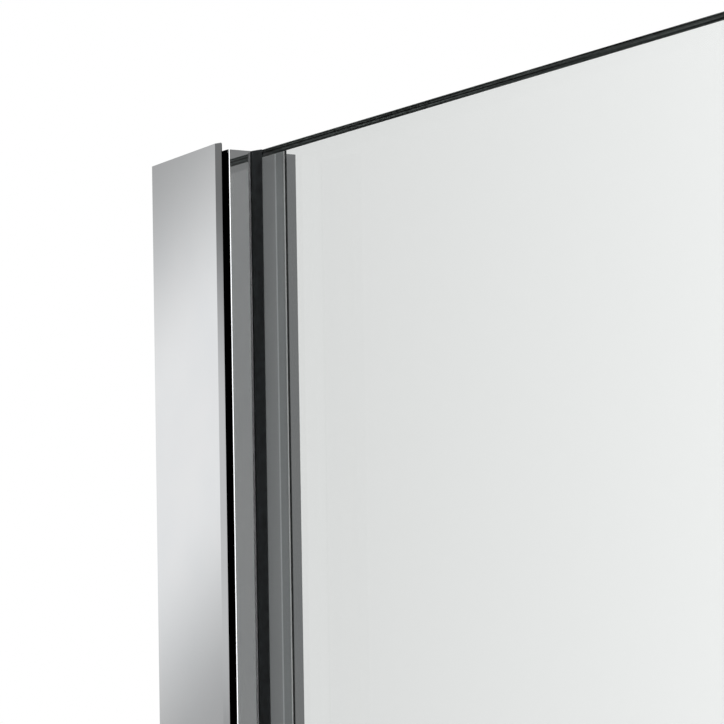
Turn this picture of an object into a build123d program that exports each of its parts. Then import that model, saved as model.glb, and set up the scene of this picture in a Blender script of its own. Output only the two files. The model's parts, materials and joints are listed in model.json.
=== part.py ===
from build123d import *
import math
import os

os.makedirs("parts", exist_ok=True)

# The screen stands between two walls: +X runs from the left wall along the glass, +Y from
# the room side into the shower, and +Z up. The origin is the foot of the left wall channel,
# on the wall and on the middle plane of the fixed pane. All sizes are in millimetres.

# Driving dimensions of the whole screen. PLAY is the room of a screw in its hole, SLACK that of
# a bar in its socket, and HAIR the gap between the glass and whatever bears on it.
WIDTH = 1200.0
HEIGHT = 1950.0
GLASS = 8.0
HALF_GLASS = GLASS / 2
ARRIS = 0.12
WASHER = 1.0
PLAY = 0.05
SLACK = 0.1
HAIR = 0.03
SOFT_FACE = HALF_GLASS + HAIR

# Left wall channel: its wide front leg flares outwards from the wall and ends in a bevelled
# lip, and its short rear leg is straight.
CHANNEL_FOOT = 10.95
CHANNEL_MOUTH = 12.65
CHANNEL_DEPTH = 21.2
CHANNEL_TIP = (22.35, -12.26)
CHANNEL_WALL = 1.15
CHANNEL_WEB = 1.6
CHANNEL_FLARE = (CHANNEL_MOUTH - CHANNEL_FOOT) / CHANNEL_DEPTH
REAR_LEG = 11.2
REAR_LEG_DEPTH = 10.6

# Profile inside it that holds the glass, with jaws that close on the gaskets.
PROFILE_BACK = 4.0
PROFILE_NOSE = 17.75
PROFILE_FRONT = 8.5
PROFILE_REAR = 7.5
PROFILE_WALL = 1.4
PROFILE_FLANGE = 9.95
JAW_DEPTH = 3.3
JAW_HALF = 4.75
JAW_ROUND = 0.25
GASKET_FRONT_TIP = 19.65
GASKET_REAR_TIP = 20.4
GASKET_LIP = 0.35

# Fixed pane and the sill channel under it.
FIXED_LEFT = 8.0
FIXED_RIGHT = 620.0
FIXED_BOTTOM = 8.0
SILL_LEFT = 22.7
SILL_HALF = 7.5
SILL_HEIGHT = 20.0
SILL_WALL = 1.5
BLOCK_LENGTH = 60.0
BLOCK_CENTRES = (90.0, 550.0)
SILL_HOLES = (170.0, 470.0)

# Screw holes and the screws that clamp the profiles.
WALL_HOLE_R = 2.6
WALL_HOLE_HEIGHTS = (75.0, 675.0, 1275.0, 1875.0)
CLAMP_HEIGHTS = (140.0, 940.0, 1700.0)
CLAMP_R = 1.6
CLAMP_HEAD_R = 2.8
CLAMP_HEAD = 1.5
CLAMP_LENGTH = 4.9
CAP_R = 3.4
CAP_HEIGHT = 2.6
CAP_ROUND = 0.8
CLAMP_LEFT_X = 7.1
CLAMP_RIGHT_X = WIDTH - 12.0

# Rail: a flat bar on edge behind the fixed pane.
RAIL_Y = 21.0
RAIL_Z = HEIGHT - 130.0
RAIL_THICK = 10.0
RAIL_HEIGHT = 30.0
RAIL_TOP = RAIL_Z + RAIL_HEIGHT / 2
RAIL_BOTTOM = RAIL_Z - RAIL_HEIGHT / 2
RAIL_FRONT = RAIL_Y - RAIL_THICK / 2
RAIL_REAR = RAIL_Y + RAIL_THICK / 2
BRACKET_PLATE = 4.0
BRACKET_DEPTH = 30.0
BRACKET_HALF = 7.5
BRACKET_SOCKET = 19.0
BRACKET_PLATE_HALF = 33.0
BRACKET_HOLE = 25.0
BRACKET_GRUB = 18.0
FIXING_XS = (120.0, 350.0, 580.0)
FIXING_BORE_R = 7.0
BOLT_R = 4.0
STANDOFF_R = 8.0
PLATE_R = 15.0
PLATE_FRONT = -13.0
STOP_XS = (168.0, 1112.0)
STOP_HALF = 10.0
STOP_TOP = 1862.0
STOP_BOTTOM = 1815.0
STOP_REAR = RAIL_Y + BRACKET_HALF
BUFFER_R = 7.0
BUFFER_LENGTH = 4.7
BUFFER_Z = 1851.0
GRUB_R = 2.45

# Sliding door, hung behind the rail.
DOOR_Y = 37.0
DOOR_LEFT = 590.0
DOOR_RIGHT = 1160.0
DOOR_BOTTOM = 14.0
DOOR_TOP = HEIGHT - 10.0
DOOR_FRONT = DOOR_Y - HALF_GLASS
DOOR_REAR = DOOR_Y + HALF_GLASS
ROLLER_XS = (680.0, 1070.0)
ROLLING_R = 22.0
AXLE_Z = RAIL_TOP + ROLLING_R
GROOVE_R = ROLLING_R - 0.3
FLANGE_R = 27.0
ROLLER_HALF = 7.6
GROOVE_HALF = 5.4
BEARING_HALF = 4.0
BEARING_R = 13.0
INNER_RACE_R = 7.4
OUTER_RACE_R = 10.6
BALL_PITCH_R = 9.0
BALL_R = 2.0
BALL_COUNT = 9
AXLE_R = 5.0
BUSH_R = 11.8
BUSH_OFFSET = 2.0
HUB_R = 17.0
BOSS_R = 7.0
ANTI_LIFT_R = 12.0
ANTI_LIFT_Z = RAIL_BOTTOM - 1.5 - ANTI_LIFT_R
SMALL_HOLE_R = 6.0

# Seals and the right-hand wall channel with its magnetic strike.
SEAL_WALL = 1.0
SEAL_HALF = HALF_GLASS + SEAL_WALL
SEAL_GRIP = 12.0
SEAL_BOTTOM = 36.0
SEAL_TOP = 1770.0
JAMB_HALF = 8.0
JAMB_DEPTH = 22.0
JAMB_WALL = 1.3
STRIKE_HALF = 6.5
STRIKE_FACE = WIDTH - 24.0
STRIKE_BACK = WIDTH - 8.0
MAGNET_FACE = WIDTH - 28.0
DOOR_NOSE = MAGNET_FACE - 0.5
DOOR_MAGNET = 4.0

# Guide block at the end of the sill, and the threshold bar across the doorway.
GUIDE_LEFT = 600.0
GUIDE_RIGHT = 632.0
GUIDE_HALF = 11.0
GUIDE_SLOT_HALF = 7.2
GUIDE_FLOOR = 6.0
GUIDE_TOP = 32.0
GUIDE_GAP = 0.4
GUIDE_HOLES = (607.0, 625.0)
THRESHOLD_HALF = 9.0
THRESHOLD_HEIGHT = 5.0

# Handles, back to back through the door glass.
HANDLE_X = 1120.0
HANDLE_Z = 1000.0
HANDLE_SPREAD = 150.0
HANDLE_LENGTH = 400.0
HANDLE_REACH = 45.0
BAR_R = 9.5
POST_R = 7.0
STUD_R = 3.0
STUD_GRIP = 18.0

FIXINGS = [(x, RAIL_Z) for x in FIXING_XS]
AXLES = [(x, AXLE_Z) for x in ROLLER_XS]
BUSHES = [(x, AXLE_Z - BUSH_OFFSET) for x in ROLLER_XS]
ANTI_LIFTS = [(x, ANTI_LIFT_Z) for x in ROLLER_XS]
POSTS = [(HANDLE_X, HANDLE_Z - HANDLE_SPREAD), (HANDLE_X, HANDLE_Z + HANDLE_SPREAD)]


def disc(points, radius, front, rear, mode=Mode.ADD):
    """Add or cut round discs square to Y, one at each (x, z) point, from front to rear."""
    with Locations(*[(x, (front + rear) / 2, z) for x, z in points]):
        Cylinder(radius, rear - front, rotation=(90, 0, 0), mode=mode)


def block(low, high, mode=Mode.ADD):
    """Add or cut a box between its lowest and its highest corner."""
    size = [b - a for a, b in zip(low, high)]
    with Locations(tuple((a + b) / 2 for a, b in zip(low, high))):
        Box(*size, mode=mode)


def hex_socket(points, flats, front, depth):
    """Cut hexagonal sockets for a key into faces that look along -Y."""
    for x, z in points:
        with BuildSketch(Plane(origin=(x, front, z), x_dir=(1, 0, 0), z_dir=(0, 1, 0))) as key:
            RegularPolygon(flats / 2, 6, major_radius=False)
        extrude(key.sketch, amount=depth, mode=Mode.SUBTRACT)


# Left wall channel and the profile that holds the glass.

channel_tilt = math.hypot(1.0, CHANNEL_FLARE)
clamp_up = Vector(0, 1, 0)
LEFT_CLAMPS = [Plane((CLAMP_LEFT_X, REAR_LEG, z), z_dir=clamp_up) for z in CLAMP_HEIGHTS]
RIGHT_CLAMPS = [
    Plane((CLAMP_RIGHT_X, DOOR_Y + JAMB_HALF, z), z_dir=clamp_up) for z in CLAMP_HEIGHTS
]
CLAMP_PLANES = LEFT_CLAMPS + RIGHT_CLAMPS

with BuildPart() as wall_channel_left:
    with BuildSketch():
        with BuildLine():
            inner_drop = CHANNEL_WALL * channel_tilt
            Polyline(
                (0, -CHANNEL_FOOT),
                (CHANNEL_DEPTH, -CHANNEL_MOUTH),
                CHANNEL_TIP,
                (CHANNEL_DEPTH, inner_drop - CHANNEL_MOUTH),
                (CHANNEL_WEB, inner_drop - CHANNEL_FOOT - CHANNEL_FLARE * CHANNEL_WEB),
                (CHANNEL_WEB, REAR_LEG - CHANNEL_WALL),
                (REAR_LEG_DEPTH, REAR_LEG - CHANNEL_WALL),
                (REAR_LEG_DEPTH, REAR_LEG),
                (0, REAR_LEG),
                close=True,
            )
        make_face()
    extrude(amount=HEIGHT)
    with Locations(*[(0, 0, z) for z in WALL_HOLE_HEIGHTS]):
        Cylinder(WALL_HOLE_R, 4 * CHANNEL_WEB, rotation=(0, 90, 0), mode=Mode.SUBTRACT)
    with BuildSketch(*LEFT_CLAMPS):
        Circle(CLAMP_R + PLAY)
    extrude(amount=-2 * CHANNEL_WALL, mode=Mode.SUBTRACT)
wall_channel_left.part.label = "wall_channel_left"
export_step(wall_channel_left.part, "parts/wall_channel_left.step")

profile_inside = PROFILE_BACK + PROFILE_WALL
gasket_neck = PROFILE_NOSE - JAW_DEPTH

with BuildPart() as glazing_profile:
    with BuildSketch():
        with BuildLine():
            Polyline(
                (PROFILE_BACK, -PROFILE_FLANGE),
                (profile_inside, -PROFILE_FLANGE),
                (profile_inside, -PROFILE_FRONT),
                (PROFILE_NOSE, -PROFILE_FRONT),
                (PROFILE_NOSE, -JAW_HALF),
                (gasket_neck, -JAW_HALF),
                (gasket_neck, PROFILE_WALL - PROFILE_FRONT),
                (profile_inside, PROFILE_WALL - PROFILE_FRONT),
                (profile_inside, PROFILE_REAR - PROFILE_WALL),
                (gasket_neck, PROFILE_REAR - PROFILE_WALL),
                (gasket_neck, JAW_HALF),
                (PROFILE_NOSE, JAW_HALF),
                (PROFILE_NOSE, PROFILE_REAR),
                (profile_inside, PROFILE_REAR),
                (profile_inside, PROFILE_FLANGE),
                (PROFILE_BACK, PROFILE_FLANGE),
                close=True,
            )
        make_face()
        fillet(vertices().group_by(Axis.X)[-1], JAW_ROUND)
    extrude(amount=HEIGHT)
    with BuildSketch(*LEFT_CLAMPS):
        Circle(CLAMP_R + PLAY)
    extrude(amount=-1.5 * CLAMP_LENGTH, mode=Mode.SUBTRACT)
glazing_profile.part.label = "glazing_profile"
export_step(glazing_profile.part, "parts/glazing_profile.step")

# Each gasket has a foot in the profile's pocket and a neck past the jaw, and ends in a lip
# that leans on the glass.
GASKET_FOOT = 7.5
jaw_side = JAW_HALF - PLAY
front_foot = PROFILE_FRONT - PROFILE_WALL - PLAY
rear_foot = PROFILE_REAR - PROFILE_WALL - PLAY

with BuildPart() as glazing_gasket_front:
    with BuildSketch():
        with BuildLine():
            Polyline(
                (GASKET_FOOT, -SOFT_FACE),
                (GASKET_FOOT, -front_foot),
                (gasket_neck - PLAY, -front_foot),
                (gasket_neck - PLAY, -jaw_side),
                (PROFILE_NOSE + 0.25, -jaw_side),
                (GASKET_FRONT_TIP, -SOFT_FACE - 0.1),
                (GASKET_FRONT_TIP, -SOFT_FACE),
                close=True,
            )
        make_face()
    extrude(amount=HEIGHT)
glazing_gasket_front.part.label = "glazing_gasket_front"
export_step(glazing_gasket_front.part, "parts/glazing_gasket_front.step")

with BuildPart() as glazing_gasket_rear:
    with BuildSketch():
        with BuildLine():
            Polyline(
                (GASKET_FOOT, SOFT_FACE),
                (GASKET_FOOT, rear_foot),
                (gasket_neck - PLAY, rear_foot),
                (gasket_neck - PLAY, jaw_side),
                (PROFILE_NOSE + 0.25, jaw_side),
                (GASKET_REAR_TIP, SOFT_FACE + GASKET_LIP),
                (GASKET_REAR_TIP, SOFT_FACE),
                close=True,
            )
        make_face()
    extrude(amount=HEIGHT)
glazing_gasket_rear.part.label = "glazing_gasket_rear"
export_step(glazing_gasket_rear.part, "parts/glazing_gasket_rear.step")

# Fixed pane, with small ground arrises on its edges and a hole for each rail fixing.

with BuildPart() as fixed_glass:
    block((FIXED_LEFT, -HALF_GLASS, FIXED_BOTTOM), (FIXED_RIGHT, HALF_GLASS, HEIGHT))
    chamfer(faces().sort_by(Axis.Y)[0].edges() + faces().sort_by(Axis.Y)[-1].edges(), ARRIS)
    disc(FIXINGS, FIXING_BORE_R, -GLASS, GLASS, Mode.SUBTRACT)
fixed_glass.part.label = "fixed_glass"
export_step(fixed_glass.part, "parts/fixed_glass.step")

with BuildPart() as clamp_screws:
    with BuildSketch(*CLAMP_PLANES):
        Circle(CLAMP_HEAD_R)
    extrude(amount=CLAMP_HEAD)
    with BuildSketch(*CLAMP_PLANES):
        Circle(CLAMP_R)
    extrude(amount=-CLAMP_LENGTH)
clamp_screws.part.label = "clamp_screws"
export_step(clamp_screws.part, "parts/clamp_screws.step")

with BuildPart() as clamp_screw_caps:
    with BuildSketch(*CLAMP_PLANES):
        Circle(CAP_R)
    extrude(amount=CAP_HEIGHT)
    cap_rims = edges().filter_by(GeomType.CIRCLE).group_by(Axis.Y)
    fillet(cap_rims[1] + cap_rims[3], CAP_ROUND)
    with BuildSketch(*CLAMP_PLANES):
        Circle(CLAMP_HEAD_R + PLAY)
    extrude(amount=CLAMP_HEAD + PLAY, mode=Mode.SUBTRACT)
clamp_screw_caps.part.label = "clamp_screw_caps"
export_step(clamp_screw_caps.part, "parts/clamp_screw_caps.step")

# Sill channel under the fixed pane.

with BuildPart() as setting_blocks:
    for centre in BLOCK_CENTRES:
        low = (centre - BLOCK_LENGTH / 2, SLACK - SILL_HALF + SILL_WALL, SILL_WALL)
        high = (centre + BLOCK_LENGTH / 2, SILL_HALF - SILL_WALL - SLACK, FIXED_BOTTOM - HAIR)
        block(low, high)
setting_blocks.part.label = "setting_blocks"
export_step(setting_blocks.part, "parts/setting_blocks.step")

with BuildPart() as sill_channel:
    block((SILL_LEFT, -SILL_HALF, 0), (FIXED_RIGHT, SILL_HALF, SILL_HEIGHT))
    cavity_half = SILL_HALF - SILL_WALL
    block(
        (SILL_LEFT, -cavity_half, SILL_WALL),
        (FIXED_RIGHT, cavity_half, SILL_HEIGHT),
        Mode.SUBTRACT,
    )
    fillet(edges().filter_by(Axis.X).group_by(Axis.Z)[-1], 0.5)
    with Locations(*[(x, 0, 0) for x in SILL_HOLES]):
        Cylinder(WALL_HOLE_R, 4 * SILL_WALL, mode=Mode.SUBTRACT)
sill_channel.part.label = "sill_channel"
export_step(sill_channel.part, "parts/sill_channel.step")

GASKET_RISE = 2.2
sill_gasket_foot = FIXED_BOTTOM + 1.25 * ARRIS

with BuildPart() as sill_gaskets:
    with BuildSketch(Plane.YZ.offset(SILL_LEFT)):
        with BuildLine():
            Polyline(
                (SOFT_FACE, sill_gasket_foot),
                (SILL_HALF - SILL_WALL, sill_gasket_foot),
                (SILL_HALF - SILL_WALL, SILL_HEIGHT),
                (SILL_HALF - 0.4, SILL_HEIGHT),
                (SOFT_FACE + 0.3, SILL_HEIGHT + GASKET_RISE),
                (SOFT_FACE, SILL_HEIGHT + GASKET_RISE),
                close=True,
            )
        make_face()
        mirror(about=Plane.YZ)
    extrude(amount=FIXED_RIGHT - SILL_LEFT)
sill_gaskets.part.label = "sill_gaskets"
export_step(sill_gaskets.part, "parts/sill_gaskets.step")

with BuildPart() as sill_end_cap:
    block((FIXED_RIGHT, -SILL_HALF, 0), (FIXED_RIGHT + 2, SILL_HALF, SILL_HEIGHT))
    fillet(edges().filter_by(Axis.X).group_by(Axis.Z)[-1], 1.5)
sill_end_cap.part.label = "sill_end_cap"
export_step(sill_end_cap.part, "parts/sill_end_cap.step")

# Rail, its wall brackets and its fixings through the fixed pane.

with BuildPart() as rail_bar:
    rail_low = (BRACKET_PLATE, RAIL_FRONT, RAIL_BOTTOM)
    rail_high = (WIDTH - BRACKET_PLATE, RAIL_REAR, RAIL_TOP)
    block(rail_low, rail_high)
    chamfer(edges().filter_by(Axis.X), 0.6)
    disc(FIXINGS, BOLT_R + PLAY, RAIL_FRONT, RAIL_REAR - 1, Mode.SUBTRACT)
rail_bar.part.label = "rail_bar"
export_step(rail_bar.part, "parts/rail_bar.step")

# Each side has its wall, the way that its socket faces, and where the socket's mouth sorts in X.
bracket_holes = [RAIL_Z - BRACKET_HOLE, RAIL_Z + BRACKET_HOLE]
for side, wall_x, inward, mouth in (("left", 0.0, 1, -1), ("right", WIDTH, -1, 0)):
    plate_x = wall_x + inward * BRACKET_PLATE
    mouth_x = wall_x + inward * BRACKET_DEPTH
    grub_x = wall_x + inward * BRACKET_GRUB
    socket_low = RAIL_Z - BRACKET_SOCKET
    with BuildPart() as rail_bracket:
        block(
            (min(plate_x, mouth_x), RAIL_Y - BRACKET_HALF, socket_low),
            (max(plate_x, mouth_x), RAIL_Y + BRACKET_HALF, RAIL_Z + BRACKET_SOCKET),
        )
        fillet(edges().filter_by(Axis.X), 2)
        fillet(faces().sort_by(Axis.X)[mouth].edges(), 0.8)
        block(
            (min(wall_x, plate_x), RAIL_Y - BRACKET_HALF, RAIL_Z - BRACKET_PLATE_HALF),
            (max(wall_x, plate_x), RAIL_Y + BRACKET_HALF, RAIL_Z + BRACKET_PLATE_HALF),
        )
        block(
            (min(plate_x, mouth_x), RAIL_FRONT - SLACK, RAIL_BOTTOM - SLACK),
            (max(plate_x, mouth_x), RAIL_REAR + SLACK, RAIL_TOP + SLACK),
            Mode.SUBTRACT,
        )
        with Locations(*[(wall_x, RAIL_Y, z) for z in bracket_holes]):
            Cylinder(WALL_HOLE_R, 3 * BRACKET_PLATE, rotation=(0, 90, 0), mode=Mode.SUBTRACT)
        with Locations((grub_x, RAIL_Y, socket_low)):
            Cylinder(GRUB_R + PLAY, 2 * (RAIL_BOTTOM - socket_low), mode=Mode.SUBTRACT)
    rail_bracket.part.label = f"rail_bracket_{side}"
    export_step(rail_bracket.part, f"parts/rail_bracket_{side}.step")

SOCKET_R = 1.3
SOCKET_DEPTH = 1.3
stop_screws = [(x, RAIL_Z + 5) for x in STOP_XS]

with BuildPart() as set_screws:
    grub_low = RAIL_Z - BRACKET_SOCKET
    with Locations((BRACKET_GRUB, RAIL_Y, grub_low), (WIDTH - BRACKET_GRUB, RAIL_Y, grub_low)):
        Cylinder(GRUB_R, RAIL_BOTTOM - grub_low, align=(Align.CENTER, Align.CENTER, Align.MIN))
        Cylinder(SOCKET_R, 2 * SOCKET_DEPTH, mode=Mode.SUBTRACT)
    disc(stop_screws, GRUB_R, RAIL_REAR, STOP_REAR)
    disc(stop_screws, SOCKET_R, STOP_REAR - SOCKET_DEPTH, STOP_REAR, Mode.SUBTRACT)
set_screws.part.label = "set_screws"
export_step(set_screws.part, "parts/set_screws.step")

with BuildPart() as rail_standoffs:
    disc(FIXINGS, STANDOFF_R, HALF_GLASS + WASHER, RAIL_FRONT)
    chamfer(edges().filter_by(GeomType.CIRCLE), 0.5)
    disc(FIXINGS, BOLT_R + PLAY, HALF_GLASS, RAIL_FRONT, Mode.SUBTRACT)
rail_standoffs.part.label = "rail_standoffs"
export_step(rail_standoffs.part, "parts/rail_standoffs.step")

BOLT_HEAD_R = 7.0
BOLT_HEAD = 4.0
head_front = PLATE_FRONT + 0.5
head_seat = head_front + BOLT_HEAD
plate_rear = -HALF_GLASS - WASHER

with BuildPart() as rail_bolts:
    disc(FIXINGS, BOLT_HEAD_R, head_front, head_seat)
    hex_socket(FIXINGS, 5, head_front, 2.5)
    disc(FIXINGS, BOLT_R, head_seat, RAIL_REAR - 1.5)
rail_bolts.part.label = "rail_bolts"
export_step(rail_bolts.part, "parts/rail_bolts.step")

with BuildPart() as clamp_plates:
    disc(FIXINGS, PLATE_R, PLATE_FRONT, plate_rear)
    fillet(edges().group_by(Axis.Y)[0], 1.5)
    disc(FIXINGS, BOLT_HEAD_R + 0.2, PLATE_FRONT, head_seat, Mode.SUBTRACT)
    disc(FIXINGS, BOLT_R + PLAY, PLATE_FRONT, plate_rear, Mode.SUBTRACT)
clamp_plates.part.label = "clamp_plates"
export_step(clamp_plates.part, "parts/clamp_plates.step")

with BuildPart() as fixing_washers:
    disc(FIXINGS, PLATE_R - 0.5, plate_rear, -SOFT_FACE)
    disc(FIXINGS, STANDOFF_R, SOFT_FACE, HALF_GLASS + WASHER)
    disc(FIXINGS, BOLT_R + PLAY, plate_rear, HALF_GLASS + WASHER, Mode.SUBTRACT)
fixing_washers.part.label = "fixing_washers"
export_step(fixing_washers.part, "parts/fixing_washers.step")

with BuildPart() as fixing_sleeves:
    disc(FIXINGS, FIXING_BORE_R - PLAY, -HALF_GLASS, HALF_GLASS)
    disc(FIXINGS, BOLT_R + PLAY, -HALF_GLASS, HALF_GLASS, Mode.SUBTRACT)
fixing_sleeves.part.label = "fixing_sleeves"
export_step(fixing_sleeves.part, "parts/fixing_sleeves.step")

# A stop is a saddle on the rail, with a rubber buffer on the side that the roller meets.

with BuildPart() as rail_stops:
    for stop_x in STOP_XS:
        low = (stop_x - STOP_HALF, RAIL_Y - BRACKET_HALF, STOP_BOTTOM)
        high = (stop_x + STOP_HALF, STOP_REAR, STOP_TOP)
        block(low, high)
    fillet(edges().filter_by(Axis.Z) + edges().group_by(Axis.Z)[-1], 1.5)
    for stop_x in STOP_XS:
        low = (stop_x - STOP_HALF, RAIL_FRONT - SLACK, STOP_BOTTOM)
        high = (stop_x + STOP_HALF, RAIL_REAR + SLACK, RAIL_TOP + SLACK)
        block(low, high, Mode.SUBTRACT)
    disc(stop_screws, GRUB_R + PLAY, RAIL_REAR, STOP_REAR, Mode.SUBTRACT)
rail_stops.part.label = "rail_stops"
export_step(rail_stops.part, "parts/rail_stops.step")

buffer_xs = (
    STOP_XS[0] + STOP_HALF + BUFFER_LENGTH / 2,
    STOP_XS[1] - STOP_HALF - BUFFER_LENGTH / 2,
)
with BuildPart() as stop_buffers:
    with Locations(*[(x, RAIL_Y, BUFFER_Z) for x in buffer_xs]):
        Cylinder(BUFFER_R, BUFFER_LENGTH, rotation=(0, 90, 0))
    rims = edges().filter_by(GeomType.CIRCLE).group_by(Axis.X)
    fillet(rims[1] + rims[2], 1.2)
stop_buffers.part.label = "stop_buffers"
export_step(stop_buffers.part, "parts/stop_buffers.step")

# Bottom guide, threshold and the right-hand wall channel with its strike.

with BuildPart() as guide_block:
    block((GUIDE_LEFT, DOOR_Y - GUIDE_HALF, 0), (GUIDE_RIGHT, DOOR_Y + GUIDE_HALF, GUIDE_TOP))
    fillet(edges().filter_by(Axis.Z), 2)
    fillet(edges().group_by(Axis.Z)[-1], 1)
    block(
        (GUIDE_LEFT, DOOR_Y - GUIDE_SLOT_HALF, GUIDE_FLOOR),
        (GUIDE_RIGHT, DOOR_Y + GUIDE_SLOT_HALF, GUIDE_TOP),
        Mode.SUBTRACT,
    )
    with Locations(*[(x, DOOR_Y, 0) for x in GUIDE_HOLES]):
        Cylinder(WALL_HOLE_R, 3 * GUIDE_FLOOR, mode=Mode.SUBTRACT)
guide_block.part.label = "guide_block"
export_step(guide_block.part, "parts/guide_block.step")

LINER_LEDGE = 1.0
liner_face = SEAL_HALF + GUIDE_GAP
ledge_side = GUIDE_HALF - 1.5
door_section = Plane(origin=(GUIDE_LEFT, DOOR_Y, 0), x_dir=(0, 1, 0), z_dir=(1, 0, 0))

with BuildPart() as guide_liners:
    with BuildSketch(door_section):
        with BuildLine():
            Polyline(
                (liner_face, GUIDE_FLOOR),
                (GUIDE_SLOT_HALF - PLAY, GUIDE_FLOOR),
                (GUIDE_SLOT_HALF - PLAY, GUIDE_TOP),
                (ledge_side, GUIDE_TOP),
                (ledge_side, GUIDE_TOP + LINER_LEDGE),
                (liner_face + 0.8, GUIDE_TOP + LINER_LEDGE),
                (liner_face, GUIDE_TOP),
                close=True,
            )
        make_face()
        mirror(about=Plane.YZ)
    extrude(amount=GUIDE_RIGHT - GUIDE_LEFT)
guide_liners.part.label = "guide_liners"
export_step(guide_liners.part, "parts/guide_liners.step")

threshold_left = GUIDE_RIGHT + 0.5

with BuildPart() as threshold_bar:
    with BuildSketch(Plane.YZ.offset(threshold_left)):
        with Locations((DOOR_Y, THRESHOLD_HEIGHT / 2)):
            Trapezoid(2 * THRESHOLD_HALF, THRESHOLD_HEIGHT, 52)
        fillet(vertices().group_by(Axis.Y)[-1], 2)
    extrude(amount=MAGNET_FACE - 1 - threshold_left)
threshold_bar.part.label = "threshold_bar"
export_step(threshold_bar.part, "parts/threshold_bar.step")

with BuildPart() as wall_channel_right:
    jamb_left = WIDTH - JAMB_DEPTH
    block((jamb_left, DOOR_Y - JAMB_HALF, 0), (WIDTH, DOOR_Y + JAMB_HALF, HEIGHT))
    fillet(edges().filter_by(Axis.Z).group_by(Axis.X)[0], 0.5)
    inside = JAMB_HALF - JAMB_WALL
    block(
        (jamb_left, DOOR_Y - inside, 0),
        (WIDTH - CHANNEL_WEB, DOOR_Y + inside, HEIGHT),
        Mode.SUBTRACT,
    )
    with Locations(*[(WIDTH, DOOR_Y, z) for z in WALL_HOLE_HEIGHTS]):
        Cylinder(WALL_HOLE_R, 4 * CHANNEL_WEB, rotation=(0, 90, 0), mode=Mode.SUBTRACT)
    with BuildSketch(*RIGHT_CLAMPS):
        Circle(CLAMP_R + PLAY)
    extrude(amount=-2 * JAMB_WALL, mode=Mode.SUBTRACT)
wall_channel_right.part.label = "wall_channel_right"
export_step(wall_channel_right.part, "parts/wall_channel_right.step")

STRIKE_LIP = 4.0
with BuildPart() as strike_profile:
    block((STRIKE_FACE, DOOR_Y - STRIKE_HALF, 0), (STRIKE_BACK, DOOR_Y + STRIKE_HALF, HEIGHT))
    fillet(edges().filter_by(Axis.Z).group_by(Axis.X)[0], 0.8)
    inside = STRIKE_HALF - JAMB_WALL
    block(
        (STRIKE_FACE + JAMB_WALL, DOOR_Y - inside, 0),
        (STRIKE_BACK - JAMB_WALL, DOOR_Y + inside, HEIGHT),
        Mode.SUBTRACT,
    )
    block(
        (STRIKE_FACE, DOOR_Y - STRIKE_LIP, 0),
        (STRIKE_FACE + JAMB_WALL, DOOR_Y + STRIKE_LIP, HEIGHT),
        Mode.SUBTRACT,
    )
    with BuildSketch(*RIGHT_CLAMPS):
        Circle(CLAMP_R + PLAY)
    extrude(amount=-2 * CLAMP_LENGTH, mode=Mode.SUBTRACT)
strike_profile.part.label = "strike_profile"
export_step(strike_profile.part, "parts/strike_profile.step")

strike_inner = STRIKE_FACE + JAMB_WALL + PLAY
hook_side = STRIKE_HALF - JAMB_WALL - 0.3

with BuildPart() as strike_magnet:
    with BuildSketch(Plane(origin=(0, DOOR_Y, 0))):
        with BuildLine():
            Polyline(
                (MAGNET_FACE, 0),
                (MAGNET_FACE, STRIKE_HALF - 1),
                (STRIKE_FACE, STRIKE_HALF - 1),
                (STRIKE_FACE, STRIKE_LIP - PLAY),
                (strike_inner, STRIKE_LIP - PLAY),
                (strike_inner, hook_side),
                (strike_inner + 2, hook_side),
                (strike_inner + 2, 0),
                close=True,
            )
        make_face()
        mirror(about=Plane.XZ)
    extrude(amount=HEIGHT)
strike_magnet.part.label = "strike_magnet"
export_step(strike_magnet.part, "parts/strike_magnet.step")

# Each seal grips the glass with a U, and the two tall ones brush the other pane with a fin.
FIN = 0.9

with BuildPart() as fixed_edge_seal:
    with BuildSketch(Plane.XY.offset(SEAL_BOTTOM)):
        with Locations((FIXED_RIGHT + HAIR + (SEAL_WALL - SEAL_GRIP) / 2, 0)):
            Rectangle(SEAL_GRIP + SEAL_WALL, 2 * SEAL_HALF)
        with Locations((FIXED_RIGHT + HAIR - SEAL_GRIP / 2, 0)):
            Rectangle(SEAL_GRIP, 2 * SOFT_FACE, mode=Mode.SUBTRACT)
        with BuildLine():
            Polyline(
                (FIXED_RIGHT + SEAL_WALL - FIN, SEAL_HALF - 0.5),
                (FIXED_RIGHT + SEAL_WALL, SEAL_HALF - 0.5),
                (FIXED_RIGHT - 3, DOOR_FRONT - 2),
                (FIXED_RIGHT - 3 - FIN, DOOR_FRONT - 2),
                close=True,
            )
        make_face()
    extrude(amount=SEAL_TOP - SEAL_BOTTOM)
fixed_edge_seal.part.label = "fixed_edge_seal"
export_step(fixed_edge_seal.part, "parts/fixed_edge_seal.step")

# Sliding door: its glass and the seals on its edges.

with BuildPart() as door_glass:
    block((DOOR_LEFT, DOOR_FRONT, DOOR_BOTTOM), (DOOR_RIGHT, DOOR_REAR, DOOR_TOP))
    chamfer(faces().sort_by(Axis.Y)[0].edges() + faces().sort_by(Axis.Y)[-1].edges(), ARRIS)
    disc(BUSHES, BUSH_R + 0.2, DOOR_FRONT, DOOR_REAR, Mode.SUBTRACT)
    disc(ANTI_LIFTS + POSTS, SMALL_HOLE_R, DOOR_FRONT, DOOR_REAR, Mode.SUBTRACT)
door_glass.part.label = "door_glass"
export_step(door_glass.part, "parts/door_glass.step")

grip_left = DOOR_RIGHT + HAIR - SEAL_GRIP
tube_left = DOOR_RIGHT + HAIR + SEAL_WALL
tube_right = DOOR_NOSE - SEAL_WALL

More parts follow.
